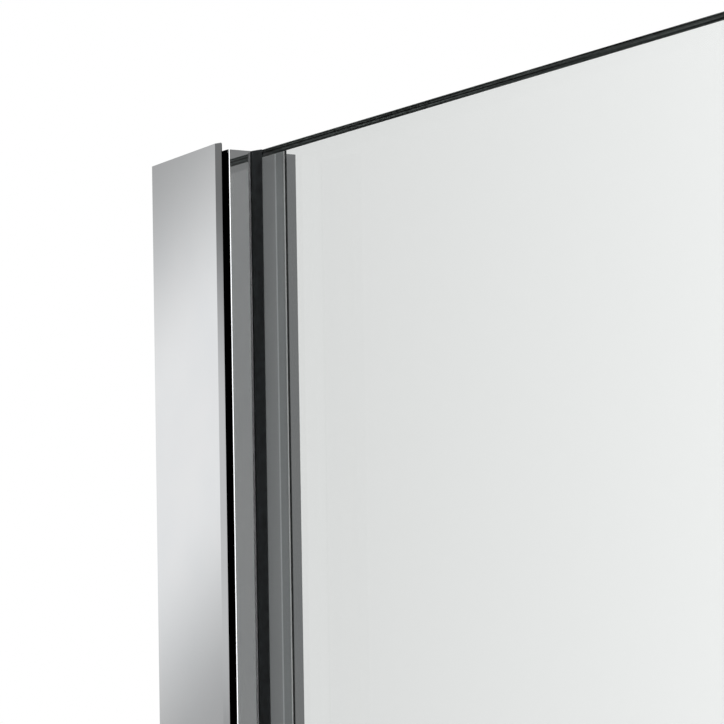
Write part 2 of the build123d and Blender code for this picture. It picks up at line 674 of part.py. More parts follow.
with BuildPart() as door_edge_seal:
    with BuildSketch(Plane.XY.offset(DOOR_BOTTOM)):
        with Locations(((grip_left + DOOR_NOSE) / 2, DOOR_Y)):
            Rectangle(DOOR_NOSE - grip_left, 2 * SEAL_HALF)
        fillet(vertices().group_by(Axis.X)[-1], 1.2)
        with Locations((grip_left + SEAL_GRIP / 2, DOOR_Y)):
            Rectangle(SEAL_GRIP, 2 * SOFT_FACE, mode=Mode.SUBTRACT)
        with Locations(((tube_left + tube_right) / 2, DOOR_Y)):
            Rectangle(tube_right - tube_left, GLASS, mode=Mode.SUBTRACT)
    extrude(amount=DOOR_TOP - DOOR_BOTTOM)
door_edge_seal.part.label = "door_edge_seal"
export_step(door_edge_seal.part, "parts/door_edge_seal.step")

with BuildPart() as door_magnet:
    magnet_half = HALF_GLASS - 2 * SLACK
    block(
        (tube_right - PLAY - DOOR_MAGNET, DOOR_Y - magnet_half, DOOR_BOTTOM),
        (tube_right - PLAY, DOOR_Y + magnet_half, DOOR_TOP),
    )
door_magnet.part.label = "door_magnet"
export_step(door_magnet.part, "parts/door_magnet.step")

with BuildPart() as door_trailing_seal:
    with BuildSketch(Plane.XY.offset(SEAL_BOTTOM)):
        with Locations((DOOR_LEFT - HAIR + (SEAL_GRIP - SEAL_WALL) / 2, DOOR_Y)):
            Rectangle(SEAL_GRIP + SEAL_WALL, 2 * SEAL_HALF)
        with Locations((DOOR_LEFT - HAIR + SEAL_GRIP / 2, DOOR_Y)):
            Rectangle(SEAL_GRIP, 2 * SOFT_FACE, mode=Mode.SUBTRACT)
        with BuildLine():
            Polyline(
                (DOOR_LEFT - SEAL_WALL, DOOR_Y - SEAL_HALF + 0.5),
                (DOOR_LEFT - SEAL_WALL + FIN, DOOR_Y - SEAL_HALF + 0.5),
                (DOOR_LEFT + 4 + FIN, HALF_GLASS + 1.6),
                (DOOR_LEFT + 4, HALF_GLASS + 1.6),
                close=True,
            )
        make_face()
    extrude(amount=SEAL_TOP - SEAL_BOTTOM)
door_trailing_seal.part.label = "door_trailing_seal"
export_step(door_trailing_seal.part, "parts/door_trailing_seal.step")

drip_left = DOOR_LEFT + 2
drip_right = DOOR_RIGHT - SEAL_GRIP - 1
with BuildPart() as door_drip_seal:
    with BuildSketch(Plane.YZ.offset(drip_left)):
        with Locations((DOOR_Y, DOOR_BOTTOM - HAIR + (SEAL_GRIP - SEAL_WALL) / 2)):
            Rectangle(2 * SEAL_HALF, SEAL_GRIP + SEAL_WALL)
        with Locations((DOOR_Y, DOOR_BOTTOM - HAIR + SEAL_GRIP / 2)):
            Rectangle(2 * SOFT_FACE, SEAL_GRIP, mode=Mode.SUBTRACT)
        fin_top = DOOR_BOTTOM - HAIR - SEAL_WALL
        fin_bottom = THRESHOLD_HEIGHT + 2
        with Locations((DOOR_Y, (fin_top + fin_bottom) / 2)):
            Rectangle(SEAL_WALL, fin_top - fin_bottom)
    extrude(amount=drip_right - drip_left)
door_drip_seal.part.label = "door_drip_seal"
export_step(door_drip_seal.part, "parts/door_drip_seal.step")

# Rollers: what turns on each axle, and the axle that the door carries.

LIP_R = 10.8
FLANGE_BEVEL = 0.8
GROOVE_BEVEL = 0.6
roller_front = RAIL_Y - ROLLER_HALF
roller_rear = RAIL_Y + ROLLER_HALF
race_front = RAIL_Y - BEARING_HALF
race_rear = RAIL_Y + BEARING_HALF

for side, roller_x in zip(("left", "right"), ROLLER_XS):
    axle_plane = Plane(origin=(roller_x, RAIL_Y, AXLE_Z), x_dir=(1, 0, 0), z_dir=(0, 1, 0))
    with BuildPart(axle_plane) as roller:
        with BuildSketch(Plane(origin=axle_plane.origin, x_dir=(1, 0, 0), z_dir=(0, 0, 1))):
            with BuildLine():
                Polyline(
                    (LIP_R, -ROLLER_HALF),
                    (FLANGE_R - FLANGE_BEVEL, -ROLLER_HALF),
                    (FLANGE_R, -ROLLER_HALF + FLANGE_BEVEL),
                    (FLANGE_R, -GROOVE_HALF - GROOVE_BEVEL),
                    (FLANGE_R - GROOVE_BEVEL, -GROOVE_HALF),
                    (GROOVE_R, -GROOVE_HALF),
                    (GROOVE_R, GROOVE_HALF),
                    (FLANGE_R - GROOVE_BEVEL, GROOVE_HALF),
                    (FLANGE_R, GROOVE_HALF + GROOVE_BEVEL),
                    (FLANGE_R, ROLLER_HALF - FLANGE_BEVEL),
                    (FLANGE_R - FLANGE_BEVEL, ROLLER_HALF),
                    (BEARING_R + PLAY, ROLLER_HALF),
                    (BEARING_R + PLAY, -BEARING_HALF),
                    (LIP_R, -BEARING_HALF),
                    close=True,
                )
            make_face()
        revolve(axis=Axis((roller_x, RAIL_Y, AXLE_Z), (0, 1, 0)))
    roller.part.label = f"roller_{side}"
    export_step(roller.part, f"parts/roller_{side}.step")

    with BuildPart() as bearing_outer:
        disc([(roller_x, AXLE_Z)], BEARING_R, race_front, race_rear)
        disc([(roller_x, AXLE_Z)], OUTER_RACE_R, race_front, race_rear, Mode.SUBTRACT)
        with Locations((roller_x, RAIL_Y, AXLE_Z)):
            Torus(BALL_PITCH_R, BALL_R + PLAY, rotation=(90, 0, 0), mode=Mode.SUBTRACT)
    bearing_outer.part.label = f"bearing_outer_{side}"
    export_step(bearing_outer.part, f"parts/bearing_outer_{side}.step")

    with BuildPart() as bearing_balls:
        with Locations(axle_plane):
            with PolarLocations(BALL_PITCH_R, BALL_COUNT):
                Sphere(BALL_R)
    bearing_balls.part.label = f"bearing_balls_{side}"
    export_step(bearing_balls.part, f"parts/bearing_balls_{side}.step")

with BuildPart() as bearing_inner_races:
    disc(AXLES, INNER_RACE_R, race_front, race_rear)
    disc(AXLES, AXLE_R + PLAY, race_front, race_rear, Mode.SUBTRACT)
    with Locations(*[(x, RAIL_Y, z) for x, z in AXLES]):
        Torus(BALL_PITCH_R, BALL_R + 0.3, rotation=(90, 0, 0), mode=Mode.SUBTRACT)
bearing_inner_races.part.label = "bearing_inner_races"
export_step(bearing_inner_races.part, "parts/bearing_inner_races.step")

AXLE_HEAD_R = 10.0
AXLE_HEAD = 3.1
ROLLER_GAP = 0.3
CAP_NUT = 12.0
NUT_FLOOR = 2.5
hub_front = roller_rear + ROLLER_GAP
axle_seat = roller_front - ROLLER_GAP
axle_front = axle_seat - AXLE_HEAD
cap_front = DOOR_REAR + WASHER
cap_rear = cap_front + CAP_NUT

with BuildPart() as axle_bolts:
    disc(AXLES, AXLE_HEAD_R, axle_front, axle_seat)
    chamfer(edges().filter_by(GeomType.CIRCLE), 0.5)
    disc(AXLES, BOSS_R, axle_seat, race_front)
    disc(AXLES, AXLE_R, race_front, cap_rear - NUT_FLOOR - 0.5)
    hex_socket(AXLES, 6, axle_front, 2.2)
axle_bolts.part.label = "axle_bolts"
export_step(axle_bolts.part, "parts/axle_bolts.step")

with BuildPart() as roller_hubs:
    disc(AXLES, HUB_R, hub_front, DOOR_FRONT - WASHER)
    chamfer(edges().group_by(Axis.Y)[0], 0.6)
    disc(AXLES, BOSS_R, race_rear, hub_front)
    disc(AXLES, AXLE_R + PLAY, race_rear, DOOR_FRONT, Mode.SUBTRACT)
roller_hubs.part.label = "roller_hubs"
export_step(roller_hubs.part, "parts/roller_hubs.step")

with BuildPart() as eccentric_bushes:
    disc(BUSHES, BUSH_R, DOOR_FRONT, DOOR_REAR)
    disc(AXLES, AXLE_R + PLAY, DOOR_FRONT, DOOR_REAR, Mode.SUBTRACT)
eccentric_bushes.part.label = "eccentric_bushes"
export_step(eccentric_bushes.part, "parts/eccentric_bushes.step")

with BuildPart() as roller_washers:
    disc(AXLES, HUB_R, DOOR_FRONT - WASHER, DOOR_FRONT - HAIR)
    disc(AXLES, HUB_R, DOOR_REAR + HAIR, DOOR_REAR + WASHER)
    disc(AXLES, AXLE_R + PLAY, DOOR_FRONT - WASHER, DOOR_REAR + WASHER, Mode.SUBTRACT)
roller_washers.part.label = "roller_washers"
export_step(roller_washers.part, "parts/roller_washers.step")

# The cap nut closes each axle behind the glass. Two pin holes take a spanner.
PIN_R = 2.0
PIN_SHIFT = 9.0
PIN_DEPTH = 4.0

with BuildPart() as roller_cap_nuts:
    disc(AXLES, HUB_R, cap_front, cap_rear)
    fillet(edges().group_by(Axis.Y)[-1], 2.5)
    disc(AXLES, AXLE_R + PLAY, cap_front, cap_rear - NUT_FLOOR, Mode.SUBTRACT)
    pin_holes = [(x + shift, z) for x, z in AXLES for shift in (-PIN_SHIFT, PIN_SHIFT)]
    disc(pin_holes, PIN_R, cap_rear - PIN_DEPTH, cap_rear, Mode.SUBTRACT)
roller_cap_nuts.part.label = "roller_cap_nuts"
export_step(roller_cap_nuts.part, "parts/roller_cap_nuts.step")

# Anti-lift discs run just under the rail, so that the door can't jump off it.
LIFT_BOLT_R = 3.0
LIFT_HEAD = 3.5
LIFT_SPACER_R = 8.0
LIFT_CAP = 7.0
lift_cap_rear = cap_front + LIFT_CAP

with BuildPart() as anti_lift_discs:
    disc(ANTI_LIFTS, ANTI_LIFT_R, race_front, race_rear)
    chamfer(edges().filter_by(GeomType.CIRCLE), 0.6)
    disc(ANTI_LIFTS, LIFT_BOLT_R + PLAY, race_front, race_rear, Mode.SUBTRACT)
anti_lift_discs.part.label = "anti_lift_discs"
export_step(anti_lift_discs.part, "parts/anti_lift_discs.step")

with BuildPart() as anti_lift_bolts:
    disc(ANTI_LIFTS, 2 * LIFT_BOLT_R, race_front - LIFT_HEAD, race_front)
    hex_socket(ANTI_LIFTS, 4, race_front - LIFT_HEAD, 2)
    disc(ANTI_LIFTS, LIFT_BOLT_R, race_front, lift_cap_rear - 2)
anti_lift_bolts.part.label = "anti_lift_bolts"
export_step(anti_lift_bolts.part, "parts/anti_lift_bolts.step")

with BuildPart() as anti_lift_spacers:
    disc(ANTI_LIFTS, LIFT_SPACER_R, race_rear, DOOR_FRONT - WASHER)
    disc(ANTI_LIFTS, LIFT_BOLT_R + PLAY, race_rear, DOOR_FRONT, Mode.SUBTRACT)
anti_lift_spacers.part.label = "anti_lift_spacers"
export_step(anti_lift_spacers.part, "parts/anti_lift_spacers.step")

with BuildPart() as anti_lift_sleeves:
    disc(ANTI_LIFTS, SMALL_HOLE_R - PLAY, DOOR_FRONT, DOOR_REAR)
    disc(ANTI_LIFTS, LIFT_BOLT_R + PLAY, DOOR_FRONT, DOOR_REAR, Mode.SUBTRACT)
anti_lift_sleeves.part.label = "anti_lift_sleeves"
export_step(anti_lift_sleeves.part, "parts/anti_lift_sleeves.step")

with BuildPart() as anti_lift_washers:
    disc(ANTI_LIFTS, LIFT_SPACER_R + 1, DOOR_FRONT - WASHER, DOOR_FRONT - HAIR)
    disc(ANTI_LIFTS, ANTI_LIFT_R, DOOR_REAR + HAIR, DOOR_REAR + WASHER)
    disc(ANTI_LIFTS, LIFT_BOLT_R + PLAY, DOOR_FRONT - WASHER, DOOR_REAR + WASHER, Mode.SUBTRACT)
anti_lift_washers.part.label = "anti_lift_washers"
export_step(anti_lift_washers.part, "parts/anti_lift_washers.step")

with BuildPart() as anti_lift_caps:
    disc(ANTI_LIFTS, ANTI_LIFT_R, cap_front, lift_cap_rear)
    fillet(edges().group_by(Axis.Y)[-1], 1.5)
    disc(ANTI_LIFTS, LIFT_BOLT_R + PLAY, cap_front, lift_cap_rear - 1.5, Mode.SUBTRACT)
anti_lift_caps.part.label = "anti_lift_caps"
export_step(anti_lift_caps.part, "parts/anti_lift_caps.step")

# Handles: a round bar on two posts each side, joined by studs through the glass.

BAR_YS = (DOOR_FRONT - HANDLE_REACH, DOOR_REAR + HANDLE_REACH)
for place, bar_y in zip(("outside", "inside"), BAR_YS):
    with BuildPart() as handle_bar:
        with Locations((HANDLE_X, bar_y, HANDLE_Z)):
            Cylinder(BAR_R, HANDLE_LENGTH)
        fillet(edges().filter_by(GeomType.CIRCLE), 2)
    handle_bar.part.label = f"handle_bar_{place}"
    export_step(handle_bar.part, f"parts/handle_bar_{place}.step")

post_front = DOOR_FRONT - WASHER
post_rear = DOOR_REAR + WASHER
stud_front = DOOR_FRONT - STUD_GRIP
stud_rear = DOOR_REAR + STUD_GRIP
GRUB_SHIFT = 12.0
grub_places = [
    (x, y, z - POST_R + 1.9)
    for x, z in POSTS
    for y in (DOOR_FRONT - GRUB_SHIFT, DOOR_REAR + GRUB_SHIFT)
]

with BuildPart() as handle_posts:
    disc(POSTS, POST_R, BAR_YS[0], post_front)
    disc(POSTS, POST_R, post_rear, BAR_YS[1])
    for bar_y in BAR_YS:
        with Locations((HANDLE_X, bar_y, HANDLE_Z)):
            Cylinder(BAR_R + HAIR, HANDLE_LENGTH, mode=Mode.SUBTRACT)
    disc(POSTS, STUD_R + PLAY, stud_front - 0.5, stud_rear + 0.5, Mode.SUBTRACT)
    with Locations(*grub_places):
        Cylinder(2.05, 5, mode=Mode.SUBTRACT)
handle_posts.part.label = "handle_posts"
export_step(handle_posts.part, "parts/handle_posts.step")

with BuildPart() as handle_washers:
    disc(POSTS, POST_R + 1, post_front, DOOR_FRONT - HAIR)
    disc(POSTS, POST_R + 1, DOOR_REAR + HAIR, post_rear)
    disc(POSTS, STUD_R + PLAY, post_front, post_rear, Mode.SUBTRACT)
handle_washers.part.label = "handle_washers"
export_step(handle_washers.part, "parts/handle_washers.step")

with BuildPart() as handle_sleeves:
    disc(POSTS, SMALL_HOLE_R - PLAY, DOOR_FRONT, DOOR_REAR)
    disc(POSTS, STUD_R + PLAY, DOOR_FRONT, DOOR_REAR, Mode.SUBTRACT)
handle_sleeves.part.label = "handle_sleeves"
export_step(handle_sleeves.part, "parts/handle_sleeves.step")

with BuildPart() as handle_studs:
    disc(POSTS, STUD_R, stud_front, stud_rear)
handle_studs.part.label = "handle_studs"
export_step(handle_studs.part, "parts/handle_studs.step")

with BuildPart() as handle_grub_screws:
    with Locations(*grub_places):
        Cylinder(2.0, 3.6)
        with Locations((0, 0, -1.2)):
            Cylinder(1.0, 1.2, mode=Mode.SUBTRACT)
handle_grub_screws.part.label = "handle_grub_screws"
export_step(handle_grub_screws.part, "parts/handle_grub_screws.step")
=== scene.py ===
"""Looks of a sliding shower screen: its finishes, the studio round it and the camera."""

import json
import logging
import math
from dataclasses import dataclass, replace
from enum import Enum
from typing import Any, Callable, ClassVar, Mapping, Sequence

import bpy
from mathutils import Matrix, Vector

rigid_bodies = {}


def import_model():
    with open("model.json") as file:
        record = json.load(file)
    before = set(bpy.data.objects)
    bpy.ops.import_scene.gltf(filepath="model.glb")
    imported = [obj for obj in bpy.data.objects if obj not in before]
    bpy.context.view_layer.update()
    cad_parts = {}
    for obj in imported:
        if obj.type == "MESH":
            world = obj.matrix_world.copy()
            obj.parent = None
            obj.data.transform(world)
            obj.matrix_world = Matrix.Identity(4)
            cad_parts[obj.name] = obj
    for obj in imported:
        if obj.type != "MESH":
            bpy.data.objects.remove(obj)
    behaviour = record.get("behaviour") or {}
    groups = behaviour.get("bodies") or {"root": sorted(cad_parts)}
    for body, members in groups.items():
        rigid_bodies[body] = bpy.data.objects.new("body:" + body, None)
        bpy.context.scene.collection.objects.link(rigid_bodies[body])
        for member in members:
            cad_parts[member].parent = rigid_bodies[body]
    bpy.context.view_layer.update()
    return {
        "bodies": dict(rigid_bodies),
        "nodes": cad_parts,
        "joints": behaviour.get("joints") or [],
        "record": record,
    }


LOG = logging.getLogger("shower_screen")
MM = 0.001
WHITE = (1.0, 1.0, 1.0, 1.0)

# How nearly a normal points along an axis for its face to count as facing that way.
FACING = 0.9
# The same for the channel's inner faces, low enough to take in the small bevel of its lip.
LEANING = 0.5
# A face that is square to an axis has less than this of its normal along it.
SQUARE = 0.1
# A normal below this share of X belongs to a round and not to a flat face.
ROUND = 0.999
# The front leg's inner faces stand further than this from the pane's middle.
GAP_EDGE_MM = 8.7
# The profile's face that looks into the gap stands no further than this from it.
GAP_FRONT_MM = 9.7
# The channel's floor, which the gap ends on, is within this of the wall.
GAP_DEPTH_MM = 6.0
# The rounded edges of the profile's mouth lie between these distances from the pane's middle.
MOUTH_MM = (4.7, 5.05)

# Widths of the fine bevels that catch the light.
FINE_EDGE_MM = 0.15
SMALL_EDGE_MM = 0.2
BRACKET_EDGE_MM = 0.25
MOULDED_EDGE_MM = 0.3

# Noise seldom leaves this range, so what follows a pattern is spread over it.
PATTERN_LOW = 0.3
PATTERN_HIGH = 0.7
# The sockets of a Mix node for numbers.
MIX_SHARE = 0
MIX_FIRST = 2
MIX_SECOND = 3

Frame = Mapping[str, Any]
Colour = tuple[float, float, float, float]


class Slot(Enum):
    """The material slots of the part's record."""

    ALUMINIUM = "polished_aluminium"
    STEEL = "polished_steel"
    PLAIN_STEEL = "plain_steel"
    GLASS = "clear_glass"
    RUBBER = "black_rubber"
    MAGNET = "black_magnet"
    VINYL = "clear_vinyl"
    NYLON = "white_nylon"
    GREY_PLASTIC = "grey_plastic"
    ACETAL = "dark_acetal"


class Grain(Enum):
    """Which way the fine lines of a drawn or brushed metal run."""

    ALONG_X = (0.02, 1.0, 1.0)
    ALONG_Z = (1.0, 1.0, 0.02)
    EVEN = (1.0, 1.0, 1.0)


def linear(hex_code: str) -> Colour:
    """Turn an sRGB hex colour into linear values.

    Args:
        hex_code: Six hex digits, without a hash.

    Returns:
        Red, green, blue and a full alpha.
    """
    parts = []
    for start in (0, 2, 4):
        share = int(hex_code[start : start + 2], 16) / 255
        parts.append(share / 12.92 if share <= 0.04045 else ((share + 0.055) / 1.055) ** 2.4)
    return (parts[0], parts[1], parts[2], 1.0)


def add_node(
    tree: bpy.types.NodeTree,
    kind: str,
    settings: Mapping[str, Any] | None = None,
    links: Mapping[str | int, bpy.types.NodeSocket] | None = None,
) -> bpy.types.Node:
    """Add a node with its settings and what feeds it.

    Args:
        tree: The node tree that takes it.
        kind: Blender's name for the kind of node.
        settings: Values of the node's own choices or of its sockets, by name.
        links: For each socket, the output that feeds it.

    Returns:
        The new node.
    """
    node = tree.nodes.new(kind)
    for name, value in (settings or {}).items():
        if isinstance(name, str) and name not in node.inputs and hasattr(node, name):
            setattr(node, name, value)
        else:
            node.inputs[name].default_value = value
    for name, output in (links or {}).items():
        tree.links.new(output, node.inputs[name])
    return node


@dataclass(frozen=True)
class Finish:
    """One real surface: its name, its colour and how rough it is."""

    name: str
    colour: str
    roughness: float

    def material(self) -> bpy.types.Material:
        """Make the material, or give the one that is there already.

        Returns:
            The material.
        """
        made = bpy.data.materials.get(self.name)
        if made is None:
            made = bpy.data.materials.new(self.name)
            made.use_nodes = True
            made.node_tree.nodes.clear()
            shader = self.shade(made.node_tree)
            add_node(made.node_tree, "ShaderNodeOutputMaterial", links={"Surface": shader})
        return made

    def shade(self, tree: bpy.types.NodeTree) -> bpy.types.NodeSocket:
        """Build the nodes; each kind of finish has its own."""
        raise NotImplementedError

    def pattern(
        self, tree: bpy.types.NodeTree, size_mm: float, stretch: Grain, detail: float
    ) -> bpy.types.NodeSocket:
        """Add a fine irregular pattern of a real size.

        Args:
            tree: The node tree.
            size_mm: Size of one blotch or line across its width.
            stretch: Which way the pattern runs.
            detail: How much finer detail it carries.

        Returns:
            The pattern's value output, from 0 to 1.
        """
        place = add_node(tree, "ShaderNodeTexCoord")
        spread = add_node(
            tree,
            "ShaderNodeMapping",
            {"Scale": stretch.value},
            {"Vector": place.outputs["Object"]},
        )
        blotches = add_node(
            tree,
            "ShaderNodeTexNoise",
            {"Scale": 1 / (size_mm * MM), "Detail": detail, "Roughness": 0.55},
            {"Vector": spread.outputs["Vector"]},
        )
        return blotches.outputs["Fac"]

    def between(
        self, tree: bpy.types.NodeTree, value: bpy.types.NodeSocket, low: float, high: float
    ) -> bpy.types.NodeSocket:
        """Turn a pattern into numbers from low to high.

        Args:
            tree: The node tree.
            value: The pattern.
            low: What the pattern's dark parts give.
            high: What its light parts give.

        Returns:
            The changed value output.
        """
        ranged = add_node(
            tree,
            "ShaderNodeMapRange",
            {"From Min": PATTERN_LOW, "From Max": PATTERN_HIGH, "To Min": low, "To Max": high},
            {"Value": value},
        )
        return ranged.outputs["Result"]

    def tinted(
        self, tree: bpy.types.NodeTree, value: bpy.types.NodeSocket, other: str
    ) -> bpy.types.NodeSocket:
        """Let the colour drift a little towards another one.

        Args:
            tree: The node tree.
            value: The pattern that it follows.
            other: The other sRGB hex colour.

        Returns:
            The colour output.
        """
        ramp = add_node(tree, "ShaderNodeValToRGB", links={"Fac": value})
        start, end = ramp.color_ramp.elements
        start.position, start.color = PATTERN_LOW, linear(self.colour)
        end.position, end.color = PATTERN_HIGH, linear(other)
        return ramp.outputs["Color"]


@dataclass(frozen=True)
class Metal(Finish):
    """Bare or polished metal, with the fine lines that drawing or brushing leaves."""

    drift: str
    line_mm: float
    grain: Grain
    depth_mm: float
    cloud_mm: ClassVar[float] = 18.0
    sheen_spread: ClassVar[float] = 0.2

    def shade(self, tree: bpy.types.NodeTree) -> bpy.types.NodeSocket:
        """Build a metal whose lines break its gloss a little.

        Args:
            tree: The node tree.

        Returns:
            The shader output.
        """
        lines = self.pattern(tree, self.line_mm, self.grain, 2.0)
        clouds = self.pattern(tree, self.cloud_mm, Grain.EVEN, 3.0)
        spread = self.sheen_spread * self.roughness
        rough = self.between(tree, lines, self.roughness - spread, self.roughness + spread)
        bump = add_node(
            tree,
            "ShaderNodeBump",
            {"Strength": 1.0, "Distance": self.depth_mm * MM},
            {"Height": lines},
        )
        colour = self.tinted(tree, clouds, self.drift)
        metal = add_node(
            tree,
            "ShaderNodeBsdfPrincipled",
            {"Metallic": 1.0},
            {"Base Color": colour, "Roughness": rough, "Normal": bump.outputs["Normal"]},
        )
        return metal.outputs["BSDF"]


@dataclass(frozen=True)
class Moulded(Finish):
    """Moulded or extruded plastic and rubber, with the faint mottle that its tool leaves."""

    drift: str
    mottle_mm: float
    depth_mm: float
    gloss: float = 0.5
    see_through: float = 0.0
    sheen_spread: ClassVar[float] = 0.15

    def shade(self, tree: bpy.types.NodeTree) -> bpy.types.NodeSocket:
        """Build a plastic whose skin is a little uneven.

        Args:
            tree: The node tree.

        Returns:
            The shader output.
        """
        mottle = self.pattern(tree, self.mottle_mm, Grain.EVEN, 4.0)
        spread = self.sheen_spread * self.roughness
        roughest = min(1.0, self.roughness + spread)
        rough = self.between(tree, mottle, self.roughness - spread, roughest)
        bump = add_node(
            tree,
            "ShaderNodeBump",
            {"Strength": 1.0, "Distance": self.depth_mm * MM},
            {"Height": mottle},
        )
        plastic = add_node(
            tree,
            "ShaderNodeBsdfPrincipled",
            {
                "IOR": 1.5,
                "Specular IOR Level": self.gloss,
                "Transmission Weight": self.see_through,
            },
            {
                "Base Color": self.tinted(tree, mottle, self.drift),
                "Roughness": rough,
                "Normal": bump.outputs["Normal"],
            },
        )
        return plastic.outputs["BSDF"]


@dataclass(frozen=True)
class FloatGlass(Finish):
    """Clear toughened float glass, flat to a few microns."""

    wave_mm: float
    wave_length_mm: ClassVar[float] = 120.0

    def shade(self, tree: bpy.types.NodeTree) -> bpy.types.NodeSocket:
        """Build a clear glass with the very faint wave that toughening leaves.

        Args:
            tree: The node tree.

        Returns:
            The shader output.
        """
        wave = self.pattern(tree, self.wave_length_mm, Grain.EVEN, 0.0)
        bump = add_node(
            tree,
            "ShaderNodeBump",
            {"Strength": 1.0, "Distance": self.wave_mm * MM},
            {"Height": wave},
        )
        glass = add_node(
            tree,
            "ShaderNodeBsdfPrincipled",
            {
                "Base Color": linear(self.colour),
                "Roughness": self.roughness,
                "IOR": 1.52,
                "Transmission Weight": 1.0,
            },
            {"Normal": bump.outputs["Normal"]},
        )
        return glass.outputs["BSDF"]


@dataclass(frozen=True)
class GroundEdge(Finish):
    """A pane's ground edge, with long light streaks along it that are painted reflections."""

    painted_reflection: str
    streak_mm: float
    scratch_mm: ClassVar[float] = 0.01

    def shade(self, tree: bpy.types.NodeTree) -> bpy.types.NodeSocket:
        """Build a matt edge with faint light streaks.

        Args:
            tree: The node tree.

        Returns:
            The shader output.
        """
        streaks = self.pattern(tree, self.streak_mm, Grain.ALONG_X, 1.0)
        bump = add_node(
            tree,
            "ShaderNodeBump",
            {"Strength": 0.5, "Distance": self.scratch_mm * MM},
            {"Height": streaks},
        )
        edge = add_node(
            tree,
            "ShaderNodeBsdfPrincipled",
            {"Roughness": self.roughness, "Specular IOR Level": 0.0},
            {
                "Base Color": self.tinted(tree, streaks, self.painted_reflection),
                "Normal": bump.outputs["Normal"],
            },
        )
        return edge.outputs["BSDF"]


@dataclass(frozen=True)
class SlipCoatWithPaintedLight(Finish):
    """A grey coat on rubber, with upright stripes of other greys at distances from the wall.

    The stripes are colours only, placed to match the stripes that are seen through the glass.
    The pale stripe from 17.55 mm and the white one from 20.05 mm are painted highlights of a rib
    and of the gasket's rounded tip; the one between is a darker grey. The coat also glows
    faintly, painted light in place of light that hardly reaches it inside the pane.
    """

    # Painted highlights: the pale stripe at 17.55 mm and the white one from 20.05 mm.
    tones_and_painted_highlights_mm: ClassVar[tuple[tuple[float, str], ...]] = (
        (17.55, "DFE2E4"),
        (17.95, "ACAFB1"),
        (20.05, "FFFFFF"),
    )
    reach_mm: ClassVar[float] = 25.0
    mottle_mm: ClassVar[float] = 0.6
    depth_mm: ClassVar[float] = 0.01
    # Painted glow in place of light that hardly reaches the coat.
    painted_glow: float = 0.22

    def shade(self, tree: bpy.types.NodeTree) -> bpy.types.NodeSocket:
        """Build the striped coat.

        Args:
            tree: The node tree.

        Returns:
            The shader output.
        """
        place = add_node(tree, "ShaderNodeTexCoord")
        split = add_node(tree, "ShaderNodeSeparateXYZ", links={"Vector": place.outputs["Object"]})
        share = add_node(
            tree,
            "ShaderNodeMath",
            {"operation": "DIVIDE", 1: self.reach_mm * MM},
            {0: split.outputs["X"]},
        )
        ramp = add_node(tree, "ShaderNodeValToRGB", links={"Fac": share.outputs[0]})
        ramp.color_ramp.interpolation = "CONSTANT"
        stripes = ((0.0, self.colour), *self.tones_and_painted_highlights_mm)
        marks = ramp.color_ramp.elements
        while len(marks) < len(stripes):
            marks.new(1.0)
        for mark, (start, colour) in zip(marks, stripes):
            mark.position = start / self.reach_mm
            mark.color = linear(colour)
        mottle = self.pattern(tree, self.mottle_mm, Grain.ALONG_Z, 2.0)
        bump = add_node(
            tree,
            "ShaderNodeBump",
            {"Strength": 1.0, "Distance": self.depth_mm * MM},
            {"Height": mottle},
        )
        coat = add_node(
            tree,
            "ShaderNodeBsdfPrincipled",
            {
                "Roughness": self.roughness,
                "Specular IOR Level": 0.1,
                "Emission Strength": self.painted_glow,
            },
            {
                "Base Color": ramp.outputs["Color"],
                "Emission Color": ramp.outputs["Color"],
                "Normal": bump.outputs["Normal"],
            },
        )
        return coat.outputs["BSDF"]


# Extruded aluminium, polished and bright dipped until it looks chromed. It mirrors the room
# with a slight haze, and its draw lines show only as a faint softening of what it mirrors.
BRIGHT_ALUMINIUM = Metal(
    "Bright_dipped_aluminium",
    "DADBDC",
    roughness=0.03,
    drift="D5D7D9",
    line_mm=0.35,
    grain=Grain.ALONG_Z,
    depth_mm=0.0002,
)
# The same along a sill or a threshold, whose draw lines run the other way.
BRIGHT_ALUMINIUM_FLAT = replace(
    BRIGHT_ALUMINIUM, name="Bright_dipped_aluminium_along_X", grain=Grain.ALONG_X
)
# The inside of an extrusion in the narrow gap, with painted shade: a near-black matt finish,
# darker than bare aluminium is, that stands in for the shadow there so that the gap looks black.
PAINTED_GAP_SHADE = Moulded(
    "Painted_shade_in_the_gap",
    "040404",
    roughness=0.8,
    drift="070707",
    mottle_mm=0.8,
    depth_mm=0.01,
    gloss=0.0,
)
# Painted highlight on the round edge of the profile's mouth: pale satin metal, a bright line.
PAINTED_MOUTH_HIGHLIGHT = Metal(
    "Painted_highlight_on_mouth_edge",
    "F2F3F4",
    roughness=0.5,
    drift="E9EBED",
    line_mm=0.4,
    grain=Grain.ALONG_Z,
    depth_mm=0.0004,
)
# A sawn end of that extrusion: duller, with the saw's fine marks.
SAWN_ALUMINIUM = Metal(
    "Sawn_aluminium",
    "B9BCBE",
    roughness=0.34,
    drift="AEB1B4",
    line_mm=0.5,
    grain=Grain.EVEN,
    depth_mm=0.02,
)
# Stainless steel polished to a mirror, a little darker and cooler than the aluminium.
MIRROR_STEEL = Metal(
    "Mirror_polished_stainless",
    "D2D4D6",
    roughness=0.08,
    drift="CACDD0",
    line_mm=0.4,
    grain=Grain.ALONG_Z,
    depth_mm=0.0004,
)
# The rail bar is ground along its length before it is polished, so its lines run along X.
GROUND_STEEL = Metal(
    "Ground_and_polished_stainless",
    "D0D2D4",
    roughness=0.12,
    drift="CACDD0",
    line_mm=0.5,
    grain=Grain.ALONG_X,
    depth_mm=0.0006,
)
# Turned stainless steel of bolts and bearings: satin, with a fine uneven sheen.
TURNED_STEEL = Metal(
    "Turned_stainless",
    "B4B6B8",
    roughness=0.27,
    drift="A6A9AC",
    line_mm=0.6,
    grain=Grain.EVEN,
    depth_mm=0.004,
)
